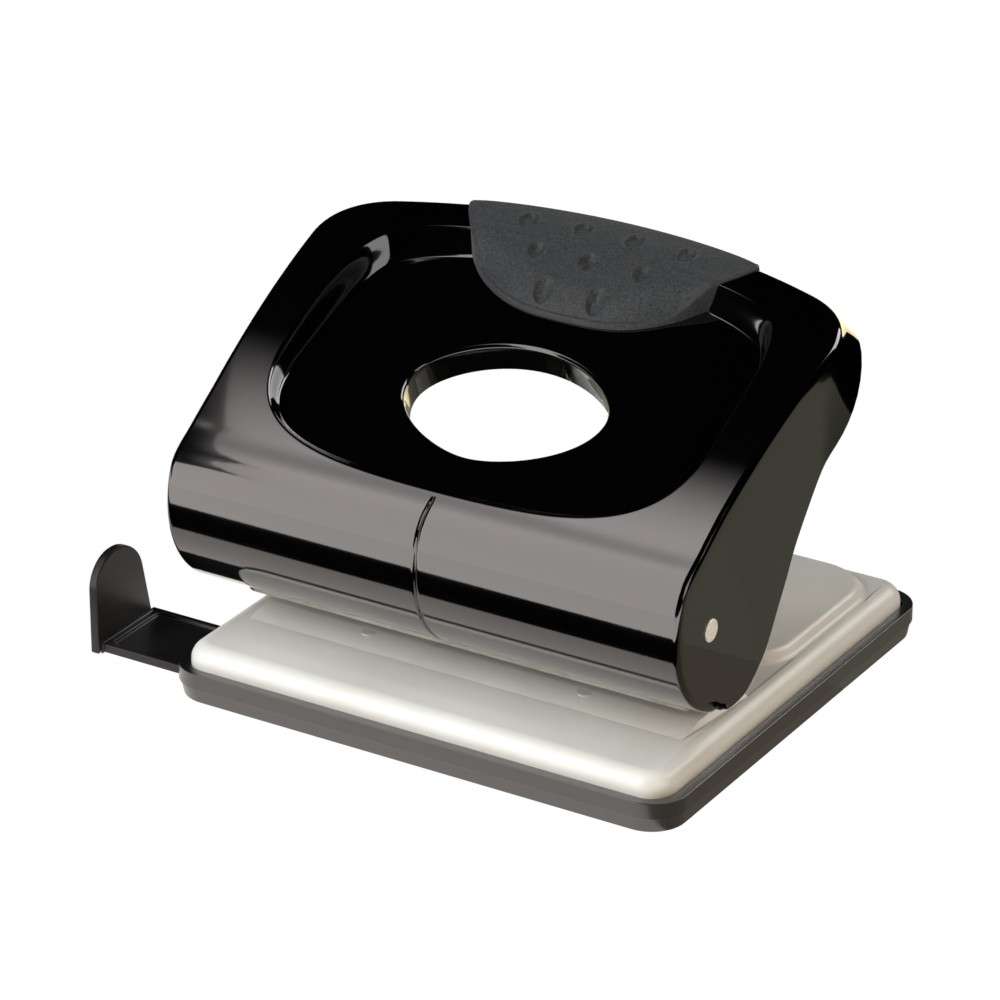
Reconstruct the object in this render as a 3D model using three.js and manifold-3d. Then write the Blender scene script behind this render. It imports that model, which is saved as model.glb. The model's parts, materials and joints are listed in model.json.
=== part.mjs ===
// Two-hole paper punch: a rocking lever on a pressed base presses two sprung punches through a die plate.
// Millimetres, +Z up, +X to the right, the throat opens towards -Y.
// Inside the group, y is measured back from the front edge of the tray, and heights from its moulded edge,
// which its foot stands proud of below. The group is then moved so that the origin is the middle of the
// tray's underside.

import * as THREE from 'three';
import { mergeVertices } from 'three/addons/utils/BufferGeometryUtils.js';
import Module from 'manifold-3d';

const wasm = await Module();
wasm.setup();

// ---------------------------------------------------------------- driving dimensions
const holeSpacing = 80;        // distance between the two punched holes
const marginDepth = 12;        // hole centre to paper edge
const punchRadius = 2.75;
const strokeAngle = 28;        // how far the lever turns, degrees
const runningGap = 0.1;        // radial clearance of anything that turns or slides
const seatGap = 0.05;          // radial clearance of anything pressed on
const clearGap = 0.3;          // clearance between neighbours that must not touch

const tray = {
  width: 120, depth: 111, height: 6.1, corner: 8, wall: 1.4, floor: 1.5, rim: 2.2, foot: 0.7, chamfer: 0.8,
};
const post = { radius: 2.5, sideInset: 9, rearInset: 14 };
const plate = { inset: 2.5, skirtBottom: 5.2, top: 10.5, corner: 6, shoulder: 3, gauge: 1 };
const plateau = { front: 54, rearInset: 7.5, sideInset: 8, rise: 1.7, corner: 12, shoulder: 1.2 };
const throat = { height: 4.6, lip: 20, sideInset: 6, jawSetback: 1.2 };
const die = { gauge: 1.4, clearance: 0.1, corner: 3, chipRelief: 1.4 };
const frame = { gauge: 2, hem: 0.7, hemWidth: 1.4, footLength: 7.2, footSideInset: 4, bossRadius: 6 };
const fulcrum = { y: 15.5, z: 39.2, radius: 2, headRadius: 2.4, headHeight: 0.7, spacerWall: 2.5 };
const bar = { radius: 3, reach: 16.9, restAngle: strokeAngle / 2, overhang: 1.2, chamfer: 0.4 };
const punch = {
  tipInJaw: 0.5, top: 40, collarMargin: 0.8, collarHeight: 1.2, collarBelowTop: 3.3, dome: 0.6,
};
const bush = { wall: 1.65, height: 6 };
const spring = { wire: 0.5, clearance: 1, endGap: 0.2, turns: 6, sides: 6, stepsPerTurn: 14 };
const rivet = {
  shank: 1.6, headRadius: 3, headHeight: 0.8, tailRadius: 2.6, tailHeight: 0.8, setback: 3.4, sunk: 0.1,
};
const lever = {
  wall: 1.5, proud: 0.2, flare: 1.6, flareFrom: 20, flareTo: 61, rearY: 84.2, cornerY: 76, spacerGap: 0.3,
};
const nose = { y: 25.7, z: 41.4, radius: 23, lipY: 19.5 };
const dish = { frontY: 10.7, frontZ: 54.7, slope: 0.42, sideMargin: 9.5, rearMargin: 9.2 };
const fingerHole = { y: 37.5, halfWidth: 22.8, front: 15.3, rear: 13.7, collar: 6.5 };
const pad = { halfWidth: 35, frontY: 55.5, overhang: 1.1, rearLip: 4 };
const yoke = { gauge: 1.5, frontY: 58, rearY: 68, sideInset: 10, bossRadius: 5.2 };
const guide = {
  armBottom: 2.9, armGauge: 2, armFront: 3.5, armWidth: 20, inner: 38,
  finInset: 1.4, finX: 80, finGauge: 2, finTop: 24.3, finRound: 7.6,
};
const strap = { gauge: 0.9, width: 8, hook: 12, flange: 5, leftX: -49, rightX: 18 };
const leaf = { gauge: 0.5, width: 6, halfSpan: 14, tab: 4, x: -12 };

// ---------------------------------------------------------------- places worked out from them
const punchX = holeSpacing / 2;
const dieTop = plate.top + die.gauge;
const jawBottom = dieTop + throat.height;
const jawTop = jawBottom + frame.gauge;
const jawHalf = tray.width / 2 - throat.sideInset;
const plateUnder = plate.top - plate.gauge;
const barAngle = THREE.MathUtils.degToRad(bar.restAngle);
const barY = fulcrum.y + bar.reach * Math.cos(barAngle);
const barZ = fulcrum.z + bar.reach * Math.sin(barAngle);
const punchY = barY;
const stopY = punchY + marginDepth;
const leverHalf = tray.width / 2 + lever.proud;
const legX = tray.width / 2 - yoke.sideInset;
const bushRadius = punchRadius + bush.wall;
const springRadius = bushRadius + spring.clearance;
const collarRadius = springRadius + punch.collarMargin;
const guideRear = guide.armFront + guide.armWidth + clearGap;
const postY = guideRear + strap.flange + clearGap + post.radius;

// ---------------------------------------------------------------- materials
const finish = (color, roughness, metalness) => (
  new THREE.MeshStandardMaterial({ color, roughness, metalness })
);
const blackEnamel = finish(0x0b0b0c, 0.12, 0.1);
const greyEnamel = finish(0xb9b8b2, 0.35, 0.1);
const blackPlastic = finish(0x1b1a1a, 0.45, 0);
const charcoalRubber = finish(0x2c2d30, 0.85, 0);
const zincSteel = finish(0xa3a29c, 0.35, 0.9);
const brightSteel = finish(0xcfcfcb, 0.2, 1);
const springSteel = finish(0x8b8b8a, 0.3, 1);

// ---------------------------------------------------------------- solid helpers
const punchGroup = new THREE.Group();

// A closed three.js geometry as a manifold solid.
function solid(geometry) {
  const bare = geometry.clone();
  bare.deleteAttribute('normal');
  bare.deleteAttribute('uv');
  const merged = mergeVertices(bare, 1e-5);
  const vertProperties = new Float32Array(merged.attributes.position.array);
  const triVerts = new Uint32Array(merged.index.array);
  return new wasm.Manifold(new wasm.Mesh({ numProp: 3, vertProperties, triVerts }));
}

function geometryOf(body) {
  const mesh = body.getMesh();
  const geometry = new THREE.BufferGeometry();
  geometry.setAttribute('position', new THREE.BufferAttribute(new Float32Array(mesh.vertProperties), 3));
  geometry.setIndex(new THREE.BufferAttribute(new Uint32Array(mesh.triVerts), 1));
  geometry.computeVertexNormals();
  return geometry;
}

function add(name, body, material) {
  const mesh = new THREE.Mesh(geometryOf(body), material);
  mesh.name = name;
  punchGroup.add(mesh);
}

const join = (bodies) => bodies.reduce((sum, body) => sum.add(body));
const cut = (body, cutters) => cutters.reduce((rest, cutter) => rest.subtract(cutter), body);

// An outline in plan, raised from z0 to z1.
function upright(shape, z0, z1, curveSegments = 8) {
  const geometry = new THREE.ExtrudeGeometry(shape, { depth: z1 - z0, bevelEnabled: false, curveSegments });
  geometry.translate(0, 0, z0);
  return solid(geometry);
}

// A side outline drawn in (y, z), carried across from x0 to x1.
function across(shape, x0, x1, curveSegments = 12) {
  const geometry = new THREE.ExtrudeGeometry(shape, { depth: x1 - x0, bevelEnabled: false, curveSegments });
  const turn = new THREE.Matrix4().makeBasis(
    new THREE.Vector3(0, 1, 0),
    new THREE.Vector3(0, 0, 1),
    new THREE.Vector3(1, 0, 0),
  );
  geometry.applyMatrix4(turn);
  return solid(geometry.translate(x0, 0, 0));
}

// A turned piece about an axis: the profile is [radius, height] pairs from the axis out and back to it.
function turned(profile, segments = 24) {
  const geometry = new THREE.LatheGeometry(profile.map(([r, h]) => new THREE.Vector2(r, h)), segments);
  geometry.rotateX(Math.PI / 2);
  return geometry;
}

const rod = (radius, z0, z1, segments = 24) => (
  turned([[0, z0], [radius, z0], [radius, z1], [0, z1]], segments)
);
const standing = (geometry, x, y) => solid(geometry.clone().translate(x, y, 0));
const lying = (geometry, y, z) => solid(geometry.clone().rotateY(Math.PI / 2).translate(0, y, z));
const slab = (x0, x1, y0, y1, z0, z1) => {
  const box = new THREE.BoxGeometry(x1 - x0, y1 - y0, z1 - z0);
  return solid(box.translate((x0 + x1) / 2, (y0 + y1) / 2, (z0 + z1) / 2));
};

function polygon(points) {
  return new THREE.Shape(points.map(([u, v]) => new THREE.Vector2(u, v)));
}

function roundedRectangle(halfX, y0, y1, corner) {
  const shape = new THREE.Shape();
  const r = Math.max(corner, 0.2);
  shape.moveTo(-halfX + r, y0);
  shape.lineTo(halfX - r, y0);
  shape.absarc(halfX - r, y0 + r, r, -Math.PI / 2, 0, false);
  shape.lineTo(halfX, y1 - r);
  shape.absarc(halfX - r, y1 - r, r, 0, Math.PI / 2, false);
  shape.lineTo(-halfX + r, y1);
  shape.absarc(-halfX + r, y1 - r, r, Math.PI / 2, Math.PI, false);
  shape.lineTo(-halfX, y0 + r);
  shape.absarc(-halfX + r, y0 + r, r, Math.PI, 1.5 * Math.PI, false);
  return shape;
}

// A rounded block whose top edge is rounded over by "shoulder".
function pressedBlock(halfX, y0, y1, corner, z0, z1, shoulder) {
  const shape = roundedRectangle(halfX - shoulder, y0 + shoulder, y1 - shoulder, corner - shoulder);
  const geometry = new THREE.ExtrudeGeometry(shape, {
    depth: shoulder,
    bevelEnabled: true,
    bevelThickness: shoulder,
    bevelSize: shoulder,
    bevelSegments: 3,
    curveSegments: 4,
  });
  geometry.translate(0, 0, z1 - 2 * shoulder);
  const rounded = solid(geometry).intersect(slab(-halfX, halfX, y0, y1, z1 - 1.5 * shoulder, z1 + 1));
  return rounded.add(upright(roundedRectangle(halfX, y0, y1, corner), z0, z1 - 1.2 * shoulder, 4));
}

// ---------------------------------------------------------------- chip tray
function chipTray() {
  const half = tray.width / 2;
  const outline = (inset) => roundedRectangle(half - inset, inset, tray.depth - inset, tray.corner - inset);
  const outer = upright(outline(0), tray.chamfer - tray.foot, tray.height);
  const foot = upright(outline(tray.chamfer), -tray.foot, tray.chamfer - tray.foot);
  const hollow = upright(outline(tray.wall), tray.floor, tray.height - 1);
  const mouth = upright(outline(tray.rim), tray.height - 1.2, tray.height + 1);
  const notchDepth = 12;
  const notch = slab(-half - 1, -half + notchDepth, guide.armFront - clearGap, guideRear,
    guide.armBottom - clearGap, tray.height + 1);
  const posts = [-1, 1].flatMap((side) => [postY, tray.depth - post.rearInset].map((y) => (
    standing(rod(post.radius, tray.floor - 0.5, plateUnder), side * (half - post.sideInset), y)
  )));
  return join([cut(outer.add(foot), [hollow, mouth, notch]), ...posts]);
}

// ---------------------------------------------------------------- base plate and what is fixed to it
const footFront = stopY;
const footRear = stopY + frame.footLength + frame.gauge;
const footHalf = jawHalf - frame.footSideInset;
const rivetRow = stopY + frame.gauge + rivet.setback;
const frameRivets = [-0.84, -0.28, 0.28, 0.84].map((share) => ({ x: share * footHalf, y: rivetRow }));
const dieRivets = [-1, 1].map((side) => ({ x: side * (punchX - 14), y: punchY - 6 }));

function basePlate() {
  const { inset, skirtBottom, top, corner, shoulder, gauge } = plate;
  const half = tray.width / 2 - inset;
  const rear = tray.depth - inset;
  const outer = pressedBlock(half, inset, rear, corner, skirtBottom, top, shoulder);
  const inner = pressedBlock(half - gauge, inset + gauge, rear - gauge, corner - gauge,
    skirtBottom - 1, plateUnder, shoulder - gauge / 2);
  const raisedHalf = tray.width / 2 - plateau.sideInset;
  const raisedRear = tray.depth - plateau.rearInset;
  const raised = pressedBlock(raisedHalf, plateau.front, raisedRear, plateau.corner,
    top - 0.5, top + plateau.rise, plateau.shoulder);
  const wallIn = 2 * gauge;
  const underShape = roundedRectangle(raisedHalf - wallIn, plateau.front + wallIn, raisedRear - wallIn,
    plateau.corner - wallIn);
  const under = upright(underShape, plateUnder - 1, top + plateau.rise - gauge);
  const chipHole = rod(punchRadius + die.chipRelief, plateUnder - 1, top + 1);
  const chipHoles = [-1, 1].map((side) => standing(chipHole, side * punchX, punchY));
  const rivetHoles = [...frameRivets, ...dieRivets].map(({ x, y }) => (
    standing(rod(rivet.shank + runningGap, plateUnder - 1, top + 1), x, y)
  ));
  return cut(outer.add(raised), [inner, under, ...chipHoles, ...rivetHoles]);
}

function diePlate() {
  const outline = roundedRectangle(jawHalf, throat.lip, stopY - clearGap, die.corner);
  const strip = upright(outline, plate.top, dieTop);
  const holes = [-1, 1].map((side) => (
    standing(rod(punchRadius + die.clearance, plate.top - 1, dieTop + 1), side * punchX, punchY)
  ));
  const rivetHole = rod(rivet.shank + runningGap, plate.top - 1, dieTop + 1);
  const rivetHoles = dieRivets.map(({ x, y }) => standing(rivetHole, x, y));
  return cut(strip, [...holes, ...rivetHoles]);
}

// One pressing: foot on the base, rear wall, upper jaw and an ear at each end for the lever's pins.
function punchFrame() {
  const lipY = throat.lip + throat.jawSetback;
  const jaw = upright(roundedRectangle(jawHalf, lipY, stopY + frame.gauge, die.corner), jawBottom, jawTop);
  const hemHalf = jawHalf - die.corner;
  const hem = slab(-hemHalf, hemHalf, lipY, lipY + frame.hemWidth, jawTop - 0.5, jawTop + frame.hem);
  const wall = slab(-footHalf, footHalf, stopY, stopY + frame.gauge, plate.top, jawTop);
  const foot = slab(-footHalf, footHalf, footFront, footRear, plate.top, plate.top + frame.gauge);
  const ear = new THREE.Shape();
  ear.moveTo(lipY + 3, jawBottom + 1);
  ear.lineTo(stopY - 2, jawBottom + 1);
  ear.lineTo(stopY - 2, jawTop + 3);
  ear.lineTo(fulcrum.y + frame.bossRadius * 0.8, fulcrum.z + frame.bossRadius * 0.6);
  ear.absarc(fulcrum.y, fulcrum.z, frame.bossRadius, Math.atan2(0.6, 0.8), Math.PI * 1.08, false);
  ear.lineTo(lipY + 3, jawTop + 4);
  const ears = [-1, 1].map((side) => {
    const x0 = Math.min(side * jawHalf, side * (jawHalf - frame.gauge));
    return across(ear, x0, x0 + frame.gauge, 16);
  });
  const pinBore = rod(fulcrum.radius + runningGap, -jawHalf - 1, jawHalf + 1, 32);
  const pinHole = lying(pinBore, fulcrum.y, fulcrum.z);
  const guides = [-1, 1].map((side) => (
    standing(rod(punchRadius + runningGap, jawBottom - 1, jawTop + 1), side * punchX, punchY)
  ));
  const rivetHoles = frameRivets.map(({ x, y }) => (
    standing(rod(rivet.shank + runningGap, plate.top - 1, plate.top + frame.gauge + 1), x, y)
  ));
  return cut(join([jaw, hem, wall, foot, ...ears]), [pinHole, ...guides, ...rivetHoles]);
}

function headedRivet(top) {
  const { shank, headRadius, headHeight, tailRadius, tailHeight } = rivet;
  return turned([
    [0, plateUnder - tailHeight], [tailRadius * 0.7, plateUnder - tailHeight], [tailRadius, plateUnder],
    [shank, plateUnder], [shank, top], [headRadius, top], [headRadius * 0.7, top + headHeight],
    [0, top + headHeight],
  ]);
}

function flushRivet(top) {
  const { shank, tailRadius, tailHeight } = rivet;
  return turned([
    [0, plateUnder - tailHeight], [tailRadius * 0.7, plateUnder - tailHeight], [tailRadius, plateUnder],
    [shank, plateUnder], [shank, top], [0, top],
  ]);
}

add('chip_tray', chipTray(), blackPlastic);
add('base_plate', basePlate(), greyEnamel);
add('die_plate', diePlate(), greyEnamel);
add('punch_frame', punchFrame(), zincSteel);
frameRivets.forEach(({ x, y }, i) => {
  add(`frame_rivet_${i + 1}`, standing(headedRivet(plate.top + frame.gauge), x, y), brightSteel);
});
['left', 'right'].forEach((side, i) => {
  const { x, y } = dieRivets[i];
  add(`die_rivet_${side}`, standing(flushRivet(dieTop - rivet.sunk), x, y), brightSteel);
});

// ---------------------------------------------------------------- punches, bushes and return springs
const collarBottom = punch.top - punch.collarBelowTop;

function ring(outer, inner, z0, z1, segments = 24) {
  return turned([[inner, z0], [outer, z0], [outer, z1], [inner, z1], [inner, z0]], segments);
}

class Helix extends THREE.Curve {
  constructor(radius, z0, z1, turns) {
    super();
    this.radius = radius;
    this.z0 = z0;
    this.z1 = z1;
    this.turns = turns;
  }

  getPoint(t, target = new THREE.Vector3()) {
    const angle = t * this.turns * 2 * Math.PI;
    const height = this.z0 + t * (this.z1 - this.z0);
    return target.set(this.radius * Math.cos(angle), this.radius * Math.sin(angle), height);
  }
}

function returnSpring() {
  const section = new THREE.Shape();
  section.absarc(0, 0, spring.wire, 0, 2 * Math.PI, false);
  const bottom = jawTop + spring.wire + spring.endGap;
  const top = collarBottom - spring.wire - spring.endGap;
  return new THREE.ExtrudeGeometry(section, {
    steps: spring.turns * spring.stepsPerTurn,
    curveSegments: spring.sides / 2,
    extrudePath: new Helix(springRadius, bottom, top, spring.turns),
    bevelEnabled: false,
  });
}

['left', 'right'].forEach((side, i) => {
  const x = (i === 0 ? -1 : 1) * punchX;
  const tip = jawBottom + punch.tipInJaw;
  const pin = turned([
    [0, tip], [punchRadius, tip], [punchRadius, punch.top - punch.dome],
    [punchRadius * 0.7, punch.top - punch.dome * 0.2], [0, punch.top],
  ]);
  const collar = ring(collarRadius, punchRadius + seatGap, collarBottom, collarBottom + punch.collarHeight);
  const bushing = ring(bushRadius, punchRadius + runningGap, jawTop, jawTop + bush.height);
  add(`punch_pin_${side}`, standing(pin, x, punchY), brightSteel);
  add(`punch_collar_${side}`, standing(collar, x, punchY), zincSteel);
  add(`punch_bush_${side}`, standing(bushing, x, punchY), zincSteel);
  add(`punch_spring_${side}`, standing(returnSpring(), x, punchY), springSteel);
});

// ---------------------------------------------------------------- lever
// The top is one cubic curve from the nose to the rear edge, drawn in (y, z).
const topCurve = new THREE.CubicBezierCurve(
  new THREE.Vector2(12.2, 56.6),
  new THREE.Vector2(37.5, 74.2),
  new THREE.Vector2(62.7, 85.1),
  new THREE.Vector2(88, 88.4),
);
const brow = new THREE.Vector2(6.6, 52.3);       // where the nose bends over into the top

const dishFloor = (y) => dish.frontZ + dish.slope * (y - dish.frontY);

// Points of the upper outline from the lip, round the nose and up the top, grown outward by "grow".
function upperOutline(grow) {
  const radius = nose.radius + grow;
  const lipAngle = -Math.acos((nose.lipY - nose.y) / nose.radius);
  const browAngle = THREE.MathUtils.degToRad(-200);
  const points = [];
  const arcSteps = 14;
  for (let i = 0; i <= arcSteps; i += 1) {
    const a = lipAngle + (i / arcSteps) * (browAngle - lipAngle);
    points.push([nose.y + radius * Math.cos(a), nose.z + radius * Math.sin(a)]);
  }
  const out = new THREE.Vector2(-0.8, 0.6).multiplyScalar(grow);
  points.push([brow.x + out.x, brow.y + out.y]);
  const topSteps = 10;
  for (let i = 0; i <= topSteps; i += 1) {
    const p = topCurve.getPoint(i / topSteps);
    const t = topCurve.getTangent(i / topSteps);
    points.push([p.x - t.y * grow, p.y + t.x * grow]);
  }
  return points;
}

// The lower edge of the side walls, from the rear skirt forward to the foot of the nose.
const lowerEdge = [
  [92, 81], [82, 79], [75, 75.5], [71.5, 72], [63, 62.6], [56.3, 55.1], [50.9, 48.1], [47.7, 43.4],
  [44.7, 37.7], [41.1, 31.6], [37.7, 26], [33.6, 21.8], [29.5, 19.1],
];

// Outline in plan: straight at the nose, flaring to the rear, round corners and a bowed rear edge.
function planOutline(grow) {
  const half = leverHalf + grow;
  const wide = half + lever.flare;
  const rear = lever.rearY + grow;
  const knee = lever.cornerY + grow;
  const shape = new THREE.Shape();
  shape.moveTo(-half, -10);
  shape.lineTo(half, -10);
  shape.lineTo(half, lever.flareFrom);
  shape.lineTo(wide, lever.flareTo);
  shape.bezierCurveTo(wide, lever.flareTo + 7, wide - 4.8, knee - 2.5, wide - 12.8, knee);
  shape.bezierCurveTo(wide - 23.8, knee + 3.5, wide / 3, rear, 0, rear);
  shape.bezierCurveTo(-wide / 3, rear, -wide + 23.8, knee + 3.5, -wide + 12.8, knee);
  shape.bezierCurveTo(-wide + 4.8, knee - 2.5, -wide, lever.flareTo + 7, -wide, lever.flareTo);
  shape.lineTo(-half, lever.flareFrom);
  return shape;
}

// The rim of the dish in plan, drawn in by "inward".
function dishOutline(inward) {
  const half = leverHalf - dish.sideMargin - inward;
  const front = dish.frontY + inward * 1.5;
  const rear = lever.rearY - dish.rearMargin - inward;
  const shape = new THREE.Shape();
  shape.moveTo(0, front);
  shape.bezierCurveTo(half * 0.7, front, half, front + 4, half, front + 23);
  shape.bezierCurveTo(half, rear - 27, half, rear - 16, half * 0.9, rear - 9.5);
  shape.bezierCurveTo(half * 0.8, rear - 4, half * 0.44, rear, 0, rear);
  shape.bezierCurveTo(-half * 0.44, rear, -half * 0.8, rear - 4, -half * 0.9, rear - 9.5);
  shape.bezierCurveTo(-half, rear - 16, -half, rear - 27, -half, front + 23);
  shape.bezierCurveTo(-half, front + 4, -half * 0.7, front, 0, front);
  return shape;
}

const wideX = leverHalf + lever.flare + 6;

// The whole lever as if it were solid metal, grown by "grow"; an open one runs out below and behind.
function leverBlock(grow, open) {
  const upper = upperOutline(grow);
  const lower = open ? [[110, 95], [110, 0], [nose.lipY, 0]] : lowerEdge;
  const block = across(polygon([...upper, ...lower]), -wideX, wideX);
  const plan = upright(planOutline(grow), 0, 110, 8);
  const floorUp = polygon([
    [dish.frontY - 8, dishFloor(dish.frontY - 8) + grow],
    [100, dishFloor(100) + grow], [100, 120], [dish.frontY - 8, 120],
  ]);
  const sunk = upright(dishOutline(grow), 40, 120, 8).intersect(across(floorUp, -wideX, wideX));
  return block.intersect(plan).subtract(sunk);
}

const floorTilt = Math.atan(dish.slope);

// A plug standing square to the dish floor through the finger hole, whose outline tapers to a round front.
function fingerPlug(margin, below, above) {
  const wide = fingerHole.halfWidth + margin;
  const front = -fingerHole.front / Math.cos(floorTilt) - margin;
  const rear = fingerHole.rear / Math.cos(floorTilt) + margin;
  const shape = new THREE.Shape();
  shape.moveTo(0, front);
  shape.bezierCurveTo(wide * 0.35, front, wide, front * 0.6, wide, 0);
  shape.bezierCurveTo(wide, rear * 0.47, wide * 0.53, rear, 0, rear);
  shape.bezierCurveTo(-wide * 0.53, rear, -wide, rear * 0.47, -wide, 0);
  shape.bezierCurveTo(-wide, front * 0.6, -wide * 0.35, front, 0, front);
  const depth = below + above;
  const geometry = new THREE.ExtrudeGeometry(shape, { depth, bevelEnabled: false, curveSegments: 10 });
  geometry.translate(0, 0, -below);
  geometry.rotateX(floorTilt);
  geometry.translate(0, fingerHole.y, dishFloor(fingerHole.y));
  return solid(geometry);
}

function leverCover() {
  const shell = leverBlock(0, false).subtract(leverBlock(-lever.wall, true));
  const collar = fingerPlug(lever.wall, fingerHole.collar, -lever.wall / 2);
  const pinHole = lying(rod(fulcrum.radius + runningGap, -wideX, wideX, 32), fulcrum.y, fulcrum.z);
  return cut(shell.add(collar), [fingerPlug(0, fingerHole.collar + 2, 8), pinHole]);
}

// The pad lies in the rear of the dish, rises to its rim and hooks over the rear edge.
function gripPad() {
  const upper = new THREE.CubicBezierCurve(
    new THREE.Vector2(54, 73.5),
    new THREE.Vector2(61, 81),
    new THREE.Vector2(70, 89),
    new THREE.Vector2(88, 89.6),
  ).getPoints(12).map((p) => [p.x, p.y]);
  const under = [[88, lever.rearY - pad.rearLip], [74, 74], [54, 66]];
  const body = across(polygon([...upper, ...under]), -pad.halfWidth - 5, pad.halfWidth + 5);
  const plan = new THREE.Shape();
  const rear = lever.rearY + pad.overhang;
  const rearSide = rear - 4.4;
  const side = pad.halfWidth;
  plan.moveTo(0, pad.frontY);
  plan.bezierCurveTo(side * 0.5, pad.frontY, side * 0.72, pad.frontY + 3, side * 0.84, 68);
  plan.quadraticCurveTo(side * 0.94, 74, side, rearSide);
  plan.quadraticCurveTo(side * 0.5, rear, 0, rear);
  plan.quadraticCurveTo(-side * 0.5, rear, -side, rearSide);
  plan.quadraticCurveTo(-side * 0.94, 74, -side * 0.84, 68);
  plan.bezierCurveTo(-side * 0.72, pad.frontY + 3, -side * 0.5, pad.frontY, 0, pad.frontY);
  return body.intersect(upright(plan, 60, 100, 10)).subtract(leverBlock(clearGap, false));
}

// Channel welded under the dish: a web across, and a leg down to the press bar at each end.
function leverYoke() {
  const under = (y) => dishFloor(y) - lever.wall - clearGap;
  const { gauge, frontY, rearY, bossRadius } = yoke;
  const web = across(polygon([
    [frontY, under(frontY) - gauge], [rearY, under(rearY) - gauge],
    [rearY, under(rearY)], [frontY, under(frontY)],
  ]), -legX, legX);
  const leg = new THREE.Shape();
  leg.moveTo(rearY, under(rearY));
  leg.lineTo(frontY, under(frontY));
  leg.lineTo(barY - bossRadius * 0.8, barZ + bossRadius * 0.6);
  leg.absarc(barY, barZ, bossRadius, Math.PI - Math.atan2(0.6, 0.8), 2 * Math.PI - 0.5, false);
  leg.lineTo(rearY, under(rearY) - 8);
  const barHole = lying(rod(bar.radius + seatGap, -wideX, wideX, 32), barY, barZ);
  const legs = [-1, 1].map((side) => {
    const x0 = Math.min(side * legX, side * (legX - gauge));
    return across(leg, x0, x0 + gauge);
  });
  return cut(join([web, ...legs]), [barHole]);
}

const barHalf = legX + bar.overhang;
const pressBar = turned([
  [0, -barHalf], [bar.radius - bar.chamfer, -barHalf], [bar.radius, bar.chamfer - barHalf],
  [bar.radius, barHalf - bar.chamfer], [bar.radius - bar.chamfer, barHalf], [0, barHalf],
], 32);

add('lever_cover', leverCover(), blackEnamel);
add('grip_pad', gripPad(), charcoalRubber);
add('lever_yoke', leverYoke(), zincSteel);
add('press_bar', lying(pressBar, barY, barZ), brightSteel);

['left', 'right'].forEach((name, i) => {
  const sign = i === 0 ? -1 : 1;
  const wallX = leverHalf;
  const pinStart = jawHalf - frame.gauge - 1;
  const pin = turned([
    [0, pinStart], [fulcrum.radius, pinStart], [fulcrum.radius, wallX + runningGap],
    [fulcrum.headRadius, wallX + runningGap], [fulcrum.headRadius, wallX + fulcrum.headHeight * 0.6],
    [fulcrum.headRadius * 0.6, wallX + fulcrum.headHeight], [0, wallX + fulcrum.headHeight],
  ], 32);
  const spacerEnd = leverHalf - lever.wall - lever.spacerGap;
  const spacerBore = fulcrum.radius + runningGap;
  const spacer = ring(fulcrum.radius + fulcrum.spacerWall, spacerBore, jawHalf, spacerEnd, 32);
  const place = (geometry) => {
    const turnedRound = geometry.clone().rotateY((sign * Math.PI) / 2);
    return solid(turnedRound.translate(0, fulcrum.y, fulcrum.z));
  };
  add(`pivot_pin_${name}`, place(pin), brightSteel);
  add(`pivot_spacer_${name}`, place(spacer), zincSteel);
});

// ---------------------------------------------------------------- paper guide, its hooks and its leaf spring
function paperGuide() {
  const { armBottom, armGauge, armFront, armWidth, inner } = guide;
  const { finInset, finX, finGauge, finTop, finRound } = guide;
  const arm = slab(-finX + 1, inner, armFront, armFront + armWidth, armBottom, armBottom + armGauge);
  const fin = new THREE.Shape();
  const near = armFront - finInset;
  const far = armFront + armWidth - finInset;
  fin.moveTo(near, armBottom);
  fin.lineTo(far, armBottom);
  fin.lineTo(near + 2 * finRound + 1, finTop - finRound - 1);
  fin.absarc(near + finRound, finTop - finRound, finRound, 0, Math.PI, false);
  return arm.add(across(fin, -finX, -finX + finGauge, 16));
}

function guideStrap(x) {
  const { gauge, width, hook, flange } = strap;
  const low = guide.armBottom - 0.2;
  return join([
    slab(x - width / 2, x + width / 2, guideRear - hook, guideRear + gauge, low - gauge, low),
    slab(x - width / 2, x + width / 2, guideRear, guideRear + gauge, low - gauge, plateUnder),
    slab(x - width / 2, x + width / 2, guideRear, guideRear + flange, plateUnder - gauge, plateUnder),
  ]);
}

// A bowed strip whose tabs lie against the plate and whose middle bears on the arm.
function guideSpring() {
  const { gauge, width, halfSpan, tab, x } = leaf;
  const top = plateUnder;
  const low = guide.armBottom + guide.armGauge + runningGap;
  const bow = new THREE.Shape();
  bow.moveTo(-halfSpan - tab, top);
  bow.lineTo(-halfSpan - tab, top - gauge);
  bow.lineTo(-halfSpan, top - gauge);
  bow.quadraticCurveTo(-halfSpan / 2, low, 0, low);
  bow.quadraticCurveTo(halfSpan / 2, low, halfSpan, top - gauge);
  bow.lineTo(halfSpan + tab, top - gauge);
  bow.lineTo(halfSpan + tab, top);
  bow.lineTo(halfSpan, top);
  bow.quadraticCurveTo(halfSpan / 2, low + gauge, 0, low + gauge);
  bow.quadraticCurveTo(-halfSpan / 2, low + gauge, -halfSpan, top);
  const geometry = new THREE.ExtrudeGeometry(bow, { depth: width, bevelEnabled: false, curveSegments: 8 });
  geometry.rotateX(Math.PI / 2);
  return solid(geometry.translate(x, guide.armFront + (guide.armWidth + width) / 2, 0));
}

add('paper_guide', paperGuide(), blackPlastic);
add('guide_strap_left', guideStrap(strap.leftX), zincSteel);
add('guide_strap_right', guideStrap(strap.rightX), zincSteel);
add('guide_spring', guideSpring(), springSteel);

// ---------------------------------------------------------------- the finished group
punchGroup.position.set(0, -tray.depth / 2, tray.foot);
const model = new THREE.Group();
model.add(punchGroup);

export default model;
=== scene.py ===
import json
import math

import bmesh
import bpy
import numpy as np
from mathutils import Matrix, Vector


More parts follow.
